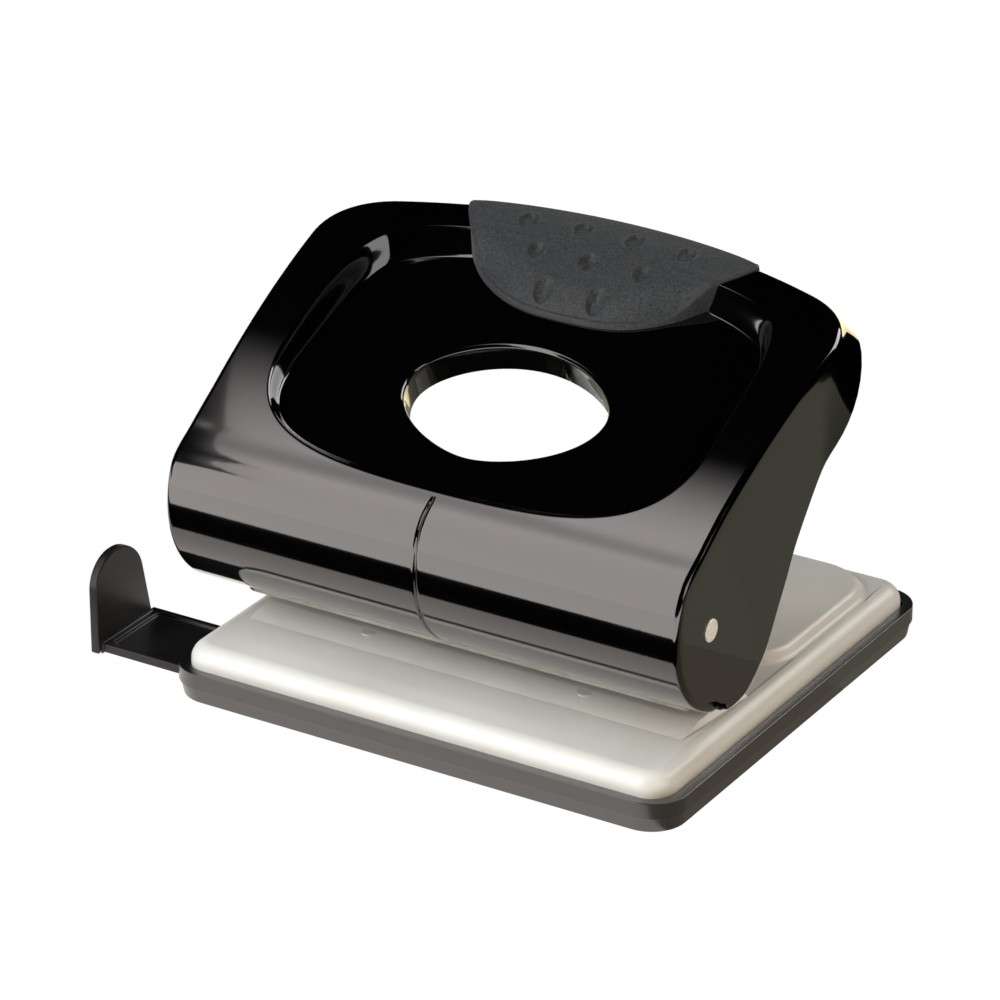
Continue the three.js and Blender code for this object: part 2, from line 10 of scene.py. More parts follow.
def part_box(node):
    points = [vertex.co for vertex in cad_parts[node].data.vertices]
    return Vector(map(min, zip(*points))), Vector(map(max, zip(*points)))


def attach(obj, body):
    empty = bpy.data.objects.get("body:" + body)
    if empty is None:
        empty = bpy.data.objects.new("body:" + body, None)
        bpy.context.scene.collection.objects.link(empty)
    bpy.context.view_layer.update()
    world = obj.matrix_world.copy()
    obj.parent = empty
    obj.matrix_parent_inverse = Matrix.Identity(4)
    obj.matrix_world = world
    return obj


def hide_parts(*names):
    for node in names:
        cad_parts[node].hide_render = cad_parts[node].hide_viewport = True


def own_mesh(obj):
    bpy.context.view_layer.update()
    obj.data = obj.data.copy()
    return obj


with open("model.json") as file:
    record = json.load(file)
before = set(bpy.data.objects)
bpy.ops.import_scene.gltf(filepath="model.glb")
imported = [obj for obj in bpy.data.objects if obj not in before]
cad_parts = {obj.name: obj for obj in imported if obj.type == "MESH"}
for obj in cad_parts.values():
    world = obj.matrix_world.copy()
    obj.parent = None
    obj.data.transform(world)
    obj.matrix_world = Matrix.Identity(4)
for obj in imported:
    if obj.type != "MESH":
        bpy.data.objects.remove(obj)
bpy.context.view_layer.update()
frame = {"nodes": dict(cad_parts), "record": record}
nodes = frame["nodes"]
bpy.ops.object.select_all(action="DESELECT")

MM = 0.001
tray_low, tray_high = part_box("chip_tray")
FRONT = tray_low.y                      # y of the tray's front edge, metres
HALF_WIDTH = tray_high.x / MM           # half the tray's width, mm
DEPTH = (tray_high.y - tray_low.y) / MM
FOOT = 0.7                              # heights are measured from this far above the tray's underside


# ------------------------------------------------------------------ small helpers
def place(points):
    """Points in mm, y measured from the tray's front edge, as metres in the frame."""
    points = np.asarray(points, float) * MM
    points[..., 1] += FRONT
    points[..., 2] += FOOT * MM
    return points


def spot(x, y, z):
    return Vector(place([x, y, z]))


def finish_piece(obj, body, slot, *replaced):
    """Every piece rides on its body and hides the CAD nodes that it stands for; its slot argument is not
    used.
    """
    bpy.ops.object.select_all(action="DESELECT")
    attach(obj, body)
    if replaced:
        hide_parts(*replaced)
    return obj


def activate(obj):
    bpy.ops.object.select_all(action="DESELECT")
    obj.select_set(True)
    bpy.context.view_layer.objects.active = obj


def settle(obj, name, material):
    """Applies the object's place to its mesh, names it and gives it its one material."""
    activate(obj)
    bpy.ops.object.transform_apply(location=True, rotation=True, scale=True)
    obj.name = name
    obj.data.name = name
    obj.data.materials.clear()
    obj.data.materials.append(material)


def modify(obj, kind, **settings):
    activate(obj)
    modifier = obj.modifiers.new(kind.title(), kind)
    for key, value in settings.items():
        setattr(modifier, key, value)
    bpy.ops.object.modifier_apply(modifier=modifier.name)


def soften(obj, degrees=35):
    activate(obj)
    bpy.ops.object.shade_smooth_by_angle(angle=math.radians(degrees))


def skin_of_rings(name, rings, material, cap_first=False, cap_last=False):
    """A skin over closed rings of points (mm), each ring with the same count, from the middle outwards."""
    count = len(rings[0])
    vertices = place(np.concatenate(rings))
    faces = []
    for k in range(len(rings) - 1):
        a, b = k * count, (k + 1) * count
        for j in range(count):
            n = (j + 1) % count
            faces.append((a + j, b + j, b + n, a + n))
    extra = []
    for wanted, start, flip in ((cap_first, 0, False), (cap_last, (len(rings) - 1) * count, True)):
        if wanted:
            pole = len(vertices) + len(extra)
            extra.append(vertices[start:start + count].mean(axis=0))
            for j in range(count):
                n = (j + 1) % count
                faces.append((pole, start + n, start + j) if flip else (pole, start + j, start + n))
    if extra:
        vertices = np.concatenate([vertices, np.array(extra)])
    mesh = bpy.data.meshes.new(name)
    mesh.from_pydata([tuple(v) for v in vertices], [], faces)
    mesh.update()
    obj = bpy.data.objects.new(name, mesh)
    bpy.context.scene.collection.objects.link(obj)
    mesh.materials.append(material)
    return obj


# ------------------------------------------------------------------ materials
def linear(hex_colour, alpha=1.0):
    """An sRGB hex colour as linear values."""
    channels = [int(hex_colour[i:i + 2], 16) / 255 for i in (1, 3, 5)]
    return tuple(c / 12.92 if c <= 0.04045 else ((c + 0.055) / 1.055) ** 2.4 for c in channels) + (alpha,)


def node(tree, kind, links=None, stops=(), **settings):
    """Adds one node: settings are properties or socket values, links are socket name to output socket, and
    stops are the (place, colour) pairs of a colour ramp."""
    made = tree.nodes.new(kind)
    for key, value in settings.items():
        if hasattr(made, key):
            setattr(made, key, value)
        else:
            made.inputs[key.replace("_", " ")].default_value = value
    for index, (position, colour) in enumerate(stops):
        made.color_ramp.elements[index].position = position
        made.color_ramp.elements[index].color = colour
    for key, source in (links or {}).items():
        tree.links.new(source, made.inputs[key])
    return made


def empty_material(name):
    material = bpy.data.materials.new(name)
    material.use_nodes = True
    material.node_tree.nodes.clear()
    return material


def new_material(name, **finish):
    """A material with one shader, its tree, and the object coordinates that its patterns are laid out on."""
    material = empty_material(name)
    tree = material.node_tree
    shader = node(tree, "ShaderNodeBsdfPrincipled", **finish)
    node(tree, "ShaderNodeOutputMaterial", {"Surface": shader.outputs["BSDF"]})
    return material, tree, shader, node(tree, "ShaderNodeTexCoord").outputs["Object"]


def feed(shader, **patterns):
    """Gives the shader a pattern where it had a plain value."""
    for key, pattern in patterns.items():
        shader.id_data.links.new(pattern, shader.inputs[key.replace("_", " ")])


def per_mm(size):
    """Texture scale for a pattern whose grain is this many mm across."""
    return 1 / (size * MM)


def stoved_black_enamel():
    """Gloss black stove enamel sprayed on pressed steel: mirror-like, with the faint waviness of flowed paint
    and a few duller patches."""
    material, tree, shader, where = new_material(
        "stoved_gloss_black_enamel", Base_Color=linear("#020203"), Roughness=0.06, IOR=1.55,
        Coat_Weight=1.0, Coat_Roughness=0.03, Coat_IOR=1.5)
    flow = node(tree, "ShaderNodeTexNoise", {"Vector": where}, Scale=per_mm(9), Detail=2.0, Roughness=0.5)
    smear = node(tree, "ShaderNodeTexNoise", {"Vector": where}, Scale=per_mm(30), Detail=4.0, Roughness=0.6)
    gloss = node(tree, "ShaderNodeMapRange", {"Value": smear.outputs["Fac"]}, To_Min=0.05, To_Max=0.12)
    waves = node(tree, "ShaderNodeBump", {"Height": flow.outputs["Fac"]}, Strength=0.25, Distance=0.02 * MM)
    feed(shader, Roughness=gloss.outputs["Result"], Normal=waves.outputs["Normal"])
    return material


def stoved_grey_enamel():
    """Satin light grey stove enamel on pressed steel: a fine orange peel and a soft sheen."""
    material, tree, shader, where = new_material(
        "stoved_satin_grey_enamel", Base_Color=linear("#c9c8c1"), Roughness=0.38, IOR=1.5,
        Coat_Weight=0.25, Coat_Roughness=0.2)
    peel = node(tree, "ShaderNodeTexNoise", {"Vector": where}, Scale=per_mm(0.9), Detail=3.0, Roughness=0.55)
    tone = node(tree, "ShaderNodeTexNoise", {"Vector": where}, Scale=per_mm(25), Detail=3.0)
    colour = node(tree, "ShaderNodeValToRGB", {"Fac": tone.outputs["Fac"]},
                  stops=((0.3, linear("#c6c6c0")), (0.7, linear("#d0d0cb"))))
    gloss = node(tree, "ShaderNodeMapRange", {"Value": peel.outputs["Fac"]}, To_Min=0.33, To_Max=0.45)
    relief = node(tree, "ShaderNodeBump", {"Height": peel.outputs["Fac"]}, Strength=0.35, Distance=0.03 * MM)
    feed(shader, Base_Color=colour.outputs["Color"], Roughness=gloss.outputs["Result"],
         Normal=relief.outputs["Normal"])
    return material


def moulded_black_abs(name, coat):
    """Black ABS from a spark-eroded mould: a fine even grain that breaks the highlight up. Coat is how far
    the mould was polished."""
    material, tree, shader, where = new_material(
        name, Base_Color=linear("#121111"), Roughness=0.36, IOR=1.53, Coat_Weight=coat, Coat_Roughness=0.3,
        Specular_IOR_Level=0.5 + 0.5 * coat)
    grain = node(tree, "ShaderNodeTexNoise", {"Vector": where}, Scale=per_mm(0.5), Detail=2.0, Roughness=0.6)
    tone = node(tree, "ShaderNodeTexNoise", {"Vector": where}, Scale=per_mm(18), Detail=4.0)
    colour = node(tree, "ShaderNodeValToRGB", {"Fac": tone.outputs["Fac"]},
                  stops=((0.3, linear("#0f0e0e")), (0.7, linear("#171515"))))
    gloss = node(tree, "ShaderNodeMapRange", {"Value": tone.outputs["Fac"]}, To_Min=0.3, To_Max=0.42)
    relief = node(tree, "ShaderNodeBump", {"Height": grain.outputs["Fac"]}, Strength=0.4, Distance=0.03 * MM)
    feed(shader, Base_Color=colour.outputs["Color"], Roughness=gloss.outputs["Result"],
         Normal=relief.outputs["Normal"])
    return material


def moulded_charcoal_rubber():
    """Charcoal rubber moulded with a fine sandy grain: matte, lighter where light grazes it."""
    material, tree, shader, where = new_material(
        "moulded_charcoal_rubber", Base_Color=linear("#303236"), Roughness=0.55, IOR=1.5,
        Sheen_Weight=0.15, Sheen_Roughness=0.5)
    grain = node(tree, "ShaderNodeTexNoise", {"Vector": where}, Scale=per_mm(0.45), Detail=2.0, Roughness=0.7)
    cells = node(tree, "ShaderNodeTexVoronoi", {"Vector": where}, Scale=per_mm(0.55))
    colour = node(tree, "ShaderNodeValToRGB", {"Fac": grain.outputs["Fac"]},
                  stops=((0.36, linear("#0e1011")), (0.64, linear("#2a2e30"))))
    relief = node(tree, "ShaderNodeBump", {"Height": cells.outputs["Distance"]}, Strength=0.5,
                  Distance=0.08 * MM)
    feed(shader, Base_Color=colour.outputs["Color"], Normal=relief.outputs["Normal"])
    return material


def zinc_plated_steel():
    """Bright zinc plate on cold-rolled strip: grey metal with faint rolling lines and a cloudy tone."""
    material, tree, shader, where = new_material(
        "zinc_plated_rolled_steel", Base_Color=linear("#a9a8a2"), Metallic=1.0, Roughness=0.32)
    drawn_out = node(tree, "ShaderNodeMapping", {"Vector": where}, Scale=(0.06, 1.0, 1.0)).outputs["Vector"]
    lines = node(tree, "ShaderNodeTexNoise", {"Vector": drawn_out}, Scale=per_mm(0.35), Detail=2.0)
    cloud = node(tree, "ShaderNodeTexNoise", {"Vector": where}, Scale=per_mm(7), Detail=4.0)
    colour = node(tree, "ShaderNodeValToRGB", {"Fac": cloud.outputs["Fac"]},
                  stops=((0.3, linear("#99988f")), (0.7, linear("#b6b5b0"))))
    gloss = node(tree, "ShaderNodeMapRange", {"Value": lines.outputs["Fac"]}, To_Min=0.24, To_Max=0.42)
    relief = node(tree, "ShaderNodeBump", {"Height": lines.outputs["Fac"]}, Strength=0.3, Distance=0.01 * MM)
    feed(shader, Base_Color=colour.outputs["Color"], Roughness=gloss.outputs["Result"],
         Normal=relief.outputs["Normal"])
    return material


def ground_bright_steel():
    """Ground steel rod: nearly mirror bright, with fine uneven grinding marks."""
    material, tree, shader, where = new_material(
        "ground_bright_steel", Base_Color=linear("#d6d5d1"), Metallic=1.0, Roughness=0.16)
    marks = node(tree, "ShaderNodeTexNoise", {"Vector": where}, Scale=per_mm(0.4), Detail=2.0)
    gloss = node(tree, "ShaderNodeMapRange", {"Value": marks.outputs["Fac"]}, To_Min=0.1, To_Max=0.24)
    relief = node(tree, "ShaderNodeBump", {"Height": marks.outputs["Fac"]}, Strength=0.3, Distance=0.005 * MM)
    feed(shader, Roughness=gloss.outputs["Result"], Normal=relief.outputs["Normal"])
    return material


def peened_pin_end():
    """Zinc-plated pin closed over with a hammer: frosted, almost white where light reaches it."""
    material, tree, shader, where = new_material(
        "peened_zinc_plated_pin", Base_Color=linear("#ece8dc"), Metallic=0.35, Roughness=0.45)
    marks = node(tree, "ShaderNodeTexNoise", {"Vector": where}, Scale=per_mm(0.5), Detail=3.0)
    colour = node(tree, "ShaderNodeValToRGB", {"Fac": marks.outputs["Fac"]},
                  stops=((0.3, linear("#dcd8cb")), (0.7, linear("#f4f1e8"))))
    gloss = node(tree, "ShaderNodeMapRange", {"Value": marks.outputs["Fac"]}, To_Min=0.35, To_Max=0.55)
    relief = node(tree, "ShaderNodeBump", {"Height": marks.outputs["Fac"]}, Strength=0.4, Distance=0.05 * MM)
    feed(shader, Base_Color=colour.outputs["Color"], Roughness=gloss.outputs["Result"],
         Normal=relief.outputs["Normal"])
    return material


def drawn_spring_wire():
    """Oil-tempered spring wire: dark grey and smooth, its tone and gloss a little uneven from drawing."""
    material, tree, shader, where = new_material(
        "drawn_spring_wire", Base_Color=linear("#77767a"), Metallic=1.0, Roughness=0.28)
    marks = node(tree, "ShaderNodeTexNoise", {"Vector": where}, Scale=per_mm(0.6), Detail=3.0)
    colour = node(tree, "ShaderNodeValToRGB", {"Fac": marks.outputs["Fac"]},
                  stops=((0.3, linear("#66656a")), (0.7, linear("#8a898c"))))
    gloss = node(tree, "ShaderNodeMapRange", {"Value": marks.outputs["Fac"]}, To_Min=0.2, To_Max=0.36)
    feed(shader, Base_Color=colour.outputs["Color"], Roughness=gloss.outputs["Result"])
    return material


BLACK_ENAMEL = stoved_black_enamel()
GREY_ENAMEL = stoved_grey_enamel()
TRAY_ABS = moulded_black_abs("moulded_polished_black_abs", 1.0)
BLACK_ABS = moulded_black_abs("moulded_grained_black_abs", 0.0)
RUBBER = moulded_charcoal_rubber()
ZINC = zinc_plated_steel()
BRIGHT = ground_bright_steel()
WIRE = drawn_spring_wire()
PEENED = peened_pin_end()


# ------------------------------------------------------------------ lever surface, in mm
NOSE_Y, NOSE_Z, NOSE_RADIUS, LIP_Y = 25.7, 41.4, 23.0, 19.5
TOP_CURVE = np.array([[12.2, 56.6], [37.5, 74.2], [62.7, 85.1], [88.0, 88.4]])
TOP_START, TOP_END = TOP_CURVE[0, 0], TOP_CURVE[3, 0]
BROW_ANGLE = math.radians(-200)
LEVER_HALF = HALF_WIDTH + 0.2
FLARE, FLARE_FROM, FLARE_TO = 1.6, 20.0, 61.0
REAR_Y, CORNER_Y, CORNER_INSET = 84.2, 76.0, 12.8
SKIRT_AT_CORNER, SKIRT_AT_REAR = 4.6, 0.8     # how far the wall's lower edge stands out behind
SKIRT_START_Y, SKIRT_RUN, SKIRT_CORNER_RUN, SKIRT_MIDDLE_RUN = 57, 15, 6, 26
LIP_CORNER, LIP_BLUNT, LIP_OPENS_OVER = 1.4, 0.4, 6
WALL_TURN_U = 40.0                        # in front of this, the wall's points share out the lower edge
DISH_FRONT_Y, DISH_FRONT_Z, DISH_SLOPE = 10.8, 54.7, 0.42
DISH_HALF, DISH_REAR_Y = LEVER_HALF - 9.6, 75.0
DISH_WALL = 2.6                           # width of the dish's sloping wall in plan
SHEET = 1.3
EDGE_RADIUS = 1.2
SEAM_WIDTH, SEAM_DEPTH = 0.3, 0.45
HOLE_Y, HOLE_HALF_X, HOLE_FRONT, HOLE_REAR = 37.5, 22.8, 15.3, 13.7
COLLAR, COLLAR_RADIUS = 6.5, 0.9


def bezier(points, t):
    t = np.asarray(t, float)[..., None]
    a, b, c, d = (np.asarray(p, float) for p in points)
    return (1 - t) ** 3 * a + 3 * (1 - t) ** 2 * t * b + 3 * (1 - t) * t ** 2 * c + t ** 3 * d


def ease(t):
    t = np.clip(t, 0, 1)
    return t * t * (3 - 2 * t)


def lengths_along(points):
    """How far along a polyline each of its points is."""
    steps = np.linalg.norm(np.diff(points, axis=0), axis=1)
    return np.concatenate([[0], np.cumsum(steps)])


def curve_through(points):
    """A smooth curve through a row of points."""
    last = len(points) - 1
    shares = np.linspace(0, last - 0.001, 400)
    low = np.clip(shares.astype(int), 0, last - 1)
    t = (shares - low)[:, None]
    p1, p2 = points[low], points[low + 1]
    p0, p3 = points[np.clip(low - 1, 0, last)], points[np.clip(low + 2, 0, last)]
    return 0.5 * (2 * p1 + (p2 - p0) * t + (2 * p0 - 5 * p1 + 4 * p2 - p3) * t ** 2
                  + (3 * p1 - p0 - 3 * p2 + p3) * t ** 3)


def nose_profile():
    """(y, z) points from the lip round the nose to where the top curve starts, with the length along them."""
    lip = -math.acos((LIP_Y - NOSE_Y) / NOSE_RADIUS)
    angles = np.linspace(lip, BROW_ANGLE, 240)
    arc = np.stack([NOSE_Y + NOSE_RADIUS * np.cos(angles), NOSE_Z + NOSE_RADIUS * np.sin(angles)], axis=1)
    leave = np.array([math.sin(BROW_ANGLE), -math.cos(BROW_ANGLE)])
    arrive = TOP_CURVE[1] - TOP_CURVE[0]
    arrive = arrive / np.linalg.norm(arrive)
    start, end = arc[-1], TOP_CURVE[0]
    reach = np.linalg.norm(end - start) * 0.36
    brow = bezier([start, start + leave * reach, end - arrive * reach, end], np.linspace(0, 1, 80))
    points = np.concatenate([arc, brow[1:]])
    return points, lengths_along(points)


NOSE_POINTS, NOSE_LENGTH = nose_profile()
LIP_U = TOP_START - NOSE_LENGTH[-1]       # along the profile, u is y on the top and runs on round the nose


def profile(u):
    """(y, z) on the lever's outer skin at the middle, before the crown."""
    u = np.asarray(u, float)
    along = np.clip(u - LIP_U, 0, NOSE_LENGTH[-1])
    nose_y = np.interp(along, NOSE_LENGTH, NOSE_POINTS[:, 0])
    nose_z = np.interp(along, NOSE_LENGTH, NOSE_POINTS[:, 1])
    t = (u - TOP_START) / (TOP_END - TOP_START)
    z = TOP_CURVE[:, 1]
    top = (1 - t) ** 3 * z[0] + 3 * (1 - t) ** 2 * t * z[1] + 3 * (1 - t) * t ** 2 * z[2] + t ** 3 * z[3]
    on_top = u > TOP_START
    return np.where(on_top, u, nose_y), np.where(on_top, top, nose_z)


def skin_point(x, u):
    y, z = profile(u)
    return np.stack([np.broadcast_to(x, y.shape), y, z], axis=-1)


def skin_normal(x, u, step=0.05):
    across_x = skin_point(x + step, u) - skin_point(x - step, u)
    along_u = skin_point(x, u + step) - skin_point(x, u - step)
    normal = np.cross(across_x, along_u)
    return normal / np.linalg.norm(normal, axis=-1, keepdims=True)


def dish_floor(y):
    return DISH_FRONT_Z + DISH_SLOPE * (y - DISH_FRONT_Y)


def half_width(y):
    return LEVER_HALF + FLARE * np.clip((y - FLARE_FROM) / (FLARE_TO - FLARE_FROM), 0, 1)


# Every ring round the finger hole has four runs: front, right, rear, left.
SEAM_STEPS = np.array([0.1, 0.2, 0.32, 0.46, 0.62, 0.85, 1.2])
RIGHT_STEPS, REAR_STEPS = 76, 100


def front_shares():
    """Where points lie along a ring's front run: close together at the seam in the middle."""
    side = np.concatenate([SEAM_STEPS, np.linspace(2.0, LEVER_HALF, 48)])
    x = np.concatenate([-side[::-1], [0], side])
    return (x + LEVER_HALF) / (2 * LEVER_HALF)


RUNS = [front_shares()[:-1], np.arange(RIGHT_STEPS) / RIGHT_STEPS,
        np.arange(REAR_STEPS) / REAR_STEPS, np.arange(RIGHT_STEPS) / RIGHT_STEPS]


def even_run(points, shares):
    """Points at these shares of a polyline's length."""
    length = lengths_along(points)
    wanted = np.asarray(shares) * length[-1]
    return np.stack([np.interp(wanted, length, points[:, axis]) for axis in (0, 1)], axis=1)


def loop_of_runs(runs):
    return np.concatenate([even_run(np.asarray(run), shares) for run, shares in zip(runs, RUNS)])


def mirrored(points):
    """A run on the right as the matching run on the left, travelled the other way."""
    return np.asarray(points)[::-1] * np.array([-1, 1])


def hole_loop():
    """The finger hole in plan: a rounded vee in front, a flat arch behind."""
    t = np.linspace(0, 1, 160)
    wide, front, rear = HOLE_HALF_X, HOLE_Y - HOLE_FRONT, HOLE_Y + HOLE_REAR
    vee = bezier([(0, front), (wide * 0.35, front), (wide, HOLE_Y - HOLE_FRONT * 0.6), (wide, HOLE_Y)], t)
    arch = bezier([(wide, HOLE_Y), (wide, HOLE_Y + HOLE_REAR * 0.47), (wide * 0.53, rear), (0, rear)], t)
    corner, shoulder = 96, 70
    right = np.concatenate([vee[corner:], arch[1:shoulder + 1]])
    front_run = np.concatenate([mirrored(vee[:corner + 1]), vee[1:corner + 1]])
    rear_run = np.concatenate([arch[shoulder:], mirrored(arch[shoulder:])[1:]])
    return loop_of_runs([front_run, right, rear_run, mirrored(right)])


def dish_loop():
    """The dish's rim in plan: bowed in front, straight at the sides, drawn in round the rear corners."""
    half, front, rear = DISH_HALF, DISH_FRONT_Y, DISH_REAR_Y
    widest, shoulder = (half, front + 23), (half * 0.9, rear - 9.5)
    t = np.linspace(0, 1, 160)
    first = bezier([(0, front), (half * 0.7, front), (half, front + 4), widest], t)
    second = bezier([widest, (half, rear - 27), (half, rear - 16), shoulder], t)
    back = bezier([shoulder, (half * 0.8, rear - 4), (half * 0.44, rear), (0, rear)], t)
    corner = 104
    right = np.concatenate([first[corner:], second[1:]])
    front_run = np.concatenate([mirrored(first[:corner + 1]), first[1:corner + 1]])
    rear_run = np.concatenate([back, mirrored(back)[1:]])
    return loop_of_runs([front_run, right, rear_run, mirrored(right)])


def lever_loop():
    """The edge of the developed top and nose: lip, right side, bowed rear, left side."""
    u = np.linspace(LIP_U + LIP_CORNER, FLARE_TO, 240)
    y, _ = profile(u)
    side = np.stack([half_width(np.where(u > TOP_START, y, 0)), u], axis=1)
    wide = LEVER_HALF + FLARE
    t = np.linspace(0, 1, 80)
    meet = (wide - CORNER_INSET, CORNER_Y)
    bend = bezier([(wide, FLARE_TO), (wide, FLARE_TO + 7), (wide - 4.8, CORNER_Y - 2.5), meet], t)
    back = bezier([meet, (wide - 23.8, CORNER_Y + 3.5), (wide / 3, REAR_Y), (0, REAR_Y)], t)
    split = 46
    right = np.concatenate([side, bend[1:split + 1]])
    rear_half = np.concatenate([bend[split:], back[1:]])
    lip = np.array([(LIP_BLUNT - LEVER_HALF, LIP_U + LIP_BLUNT), (LIP_CORNER - LEVER_HALF, LIP_U),
                    (LEVER_HALF - LIP_CORNER, LIP_U), (LEVER_HALF - LIP_BLUNT, LIP_U + LIP_BLUNT)])
    return loop_of_runs([lip, right, np.concatenate([rear_half, mirrored(rear_half)[1:]]), mirrored(right)])


def outward(loop):
    """Unit outward directions of a closed plan loop."""
    along = np.roll(loop, -1, axis=0) - np.roll(loop, 1, axis=0)
    direction = np.stack([along[:, 1], -along[:, 0]], axis=1)
    return direction / np.linalg.norm(direction, axis=1, keepdims=True)


def groove(loop):
    """The groove down the middle of the nose, as a push into the skin at each point of a ring."""
    x, u = loop[:, 0], loop[:, 1]
    depth = SEAM_DEPTH * np.exp(-(x / SEAM_WIDTH) ** 2) * ease((DISH_FRONT_Y - 0.6 - u) / 1.2)
    return -skin_normal(x, u) * depth[:, None]


def top_ring(loop, sunk=0.0):
    """A plan loop laid on the lever's skin; sunk is 0 on the skin and 1 on the dish floor."""
    skin = skin_point(loop[:, 0], loop[:, 1])
    floor = skin.copy()
    floor[:, 2] = dish_floor(skin[:, 1])
    return skin + (floor - skin) * sunk


LOWER_EDGE = np.array([
    [20.5, 20.6], [21.2, 19.4], [22.8, 18.6], [25.2, 18.4], [29.5, 19.1], [33.6, 21.8], [37.7, 26.0],
    [41.1, 31.6], [44.7, 37.7], [47.7, 43.4], [50.9, 48.1], [56.3, 55.1], [63.0, 62.6], [67.5, 68.2],
    [71.6, 73.8], [75.5, 78.4], [82.0, 81.0], [92.0, 82.0]])


def skirt_reach(x, y):
    """How far the wall's lower edge stands out of the edge above it: most at the rear corners."""
    to_rear = ease((y - SKIRT_START_Y) / SKIRT_RUN)
    to_middle = ease((LEVER_HALF - SKIRT_CORNER_RUN - np.abs(x)) / SKIRT_MIDDLE_RUN)
    return to_rear * (SKIRT_AT_CORNER + (SKIRT_AT_REAR - SKIRT_AT_CORNER) * to_middle)


def wall_foot(loop, edge_ring):
    """Where each point of the wall ends below: on the lower edge at the sides, a flared skirt at the rear."""
    curve = curve_through(LOWER_EDGE)
    first = np.searchsorted(curve[:, 0], WALL_TURN_U)
    length = lengths_along(curve[:first + 1])
    foot = edge_ring.copy()
    away = outward(loop)
    front_count = len(RUNS[0])
    for j, (x, u) in enumerate(loop):
        if j < front_count:
            continue
        if u < WALL_TURN_U:
            want = length[-1] * np.clip((u - LIP_U) / (WALL_TURN_U - LIP_U), 0, 1)
            y = np.interp(want, length, curve[:first + 1, 0])
            z = np.interp(want, length, curve[:first + 1, 1])
            opened = ease((u - LIP_U - LIP_BLUNT) / LIP_OPENS_OVER)
            foot[j] += (np.array([math.copysign(half_width(y), x), y, z]) - foot[j]) * opened
        else:
            foot[j, :2] += away[j] * skirt_reach(x, u)
            foot[j, 2] = np.interp(foot[j, 1], curve[first - 5:, 0], curve[first - 5:, 1])
    return foot


def blend_rings(first, last, count, power=1.0):
    """Rings from one to another, both left out."""
    return [first + (last - first) * (k / (count + 1)) ** power for k in range(1, count + 1)]


def hole_collar_rings(hole):
    """From the collar's lower end up its wall and over its rolled rim onto the dish floor."""
    tilt = math.atan(DISH_SLOPE)
    up = np.array([0, -math.sin(tilt), math.cos(tilt)])
    away = outward(hole)
    away = np.stack([away[:, 0], away[:, 1] * math.cos(tilt), away[:, 1] * math.sin(tilt)], axis=1)
    away /= np.linalg.norm(away, axis=1, keepdims=True)
    rim = np.stack([hole[:, 0], hole[:, 1], dish_floor(hole[:, 1])], axis=1)
    rings = [rim - up * depth for depth in np.linspace(COLLAR, COLLAR_RADIUS, 6)]
    centre = rim + (away - up) * COLLAR_RADIUS
    for angle in np.radians(np.linspace(90, 0, 8))[1:]:
        rings.append(centre + COLLAR_RADIUS * (up * math.cos(angle) - away * math.sin(angle)))
    return rings


def edge_rings(last):
    """Round the edge of the top over into the walls."""
    base = top_ring(last)
    normal = skin_normal(last[:, 0], last[:, 1])
    aside = np.cross(np.roll(base, -1, axis=0) - np.roll(base, 1, axis=0), normal)
    aside /= np.linalg.norm(aside, axis=1, keepdims=True)
    return [base + EDGE_RADIUS * (aside * math.sin(angle) - normal * (1 - math.cos(angle)))
            for angle in np.radians(np.linspace(0, 90, 9))], normal


def make_lever_cover():
    """One deep-drawn pressing: its rings run from the finger hole's collar over dish, top, edge and walls."""
    hole, dish, edge = hole_loop(), dish_loop(), lever_loop()
    rings = hole_collar_rings(hole)
    dish_out = outward(dish)
    foot_of_wall = DISH_WALL + 0.8
    rings += blend_rings(rings[-1], top_ring(dish - dish_out * foot_of_wall, 1.0), 16)
    for d in np.linspace(foot_of_wall, -1.0, 22):
        rings.append(top_ring(dish - dish_out * d, float(ease(d / DISH_WALL))))
    pushed = [np.zeros_like(ring) for ring in rings]
    last = edge - outward(edge) * EDGE_RADIUS
    for loop in blend_rings(dish + dish_out * 1.0, last, 48):
        rings.append(top_ring(loop))
        pushed.append(groove(loop))
    rounded, normal = edge_rings(last)
    rings += rounded
    foot = wall_foot(edge, rings[-1] - normal * 0.8)
    rings += blend_rings(rings[-1], foot, 18) + [foot]
    cover = skin_of_rings("lever_cover_pressing", rings, BLACK_ENAMEL)
    modify(cover, "SOLIDIFY", thickness=SHEET * MM, offset=-1.0)
    for vertex, push in zip(cover.data.vertices, np.concatenate(pushed)):
        vertex.co += Vector(push * MM)
    soften(cover, 50)
    return finish_piece(cover, "lever", "black_enamel", "lever_cover")


make_lever_cover()

# ------------------------------------------------------------------ modelling by hand
def slab(x, y, z):
    """A box between two places (mm) on each axis, active and alone selected."""
    bpy.ops.object.select_all(action="DESELECT")
    low, high = spot(x[0], y[0], z[0]), spot(x[1], y[1], z[1])
    bpy.ops.mesh.primitive_cube_add(size=1, location=(low + high) / 2)
    box = bpy.context.object
    box.scale = high - low
    bpy.ops.object.transform_apply(location=True, rotation=True, scale=True)
    return box


def drum(radius, x, y, z0, z1):
    """An upright cylinder, mm."""
    bpy.ops.object.select_all(action="DESELECT")
    bpy.ops.mesh.primitive_cylinder_add(vertices=48, radius=radius * MM, depth=(z1 - z0) * MM,
                                        location=spot(x, y, (z0 + z1) / 2))
    bpy.ops.object.transform_apply(location=True, rotation=True, scale=True)
    return bpy.context.object


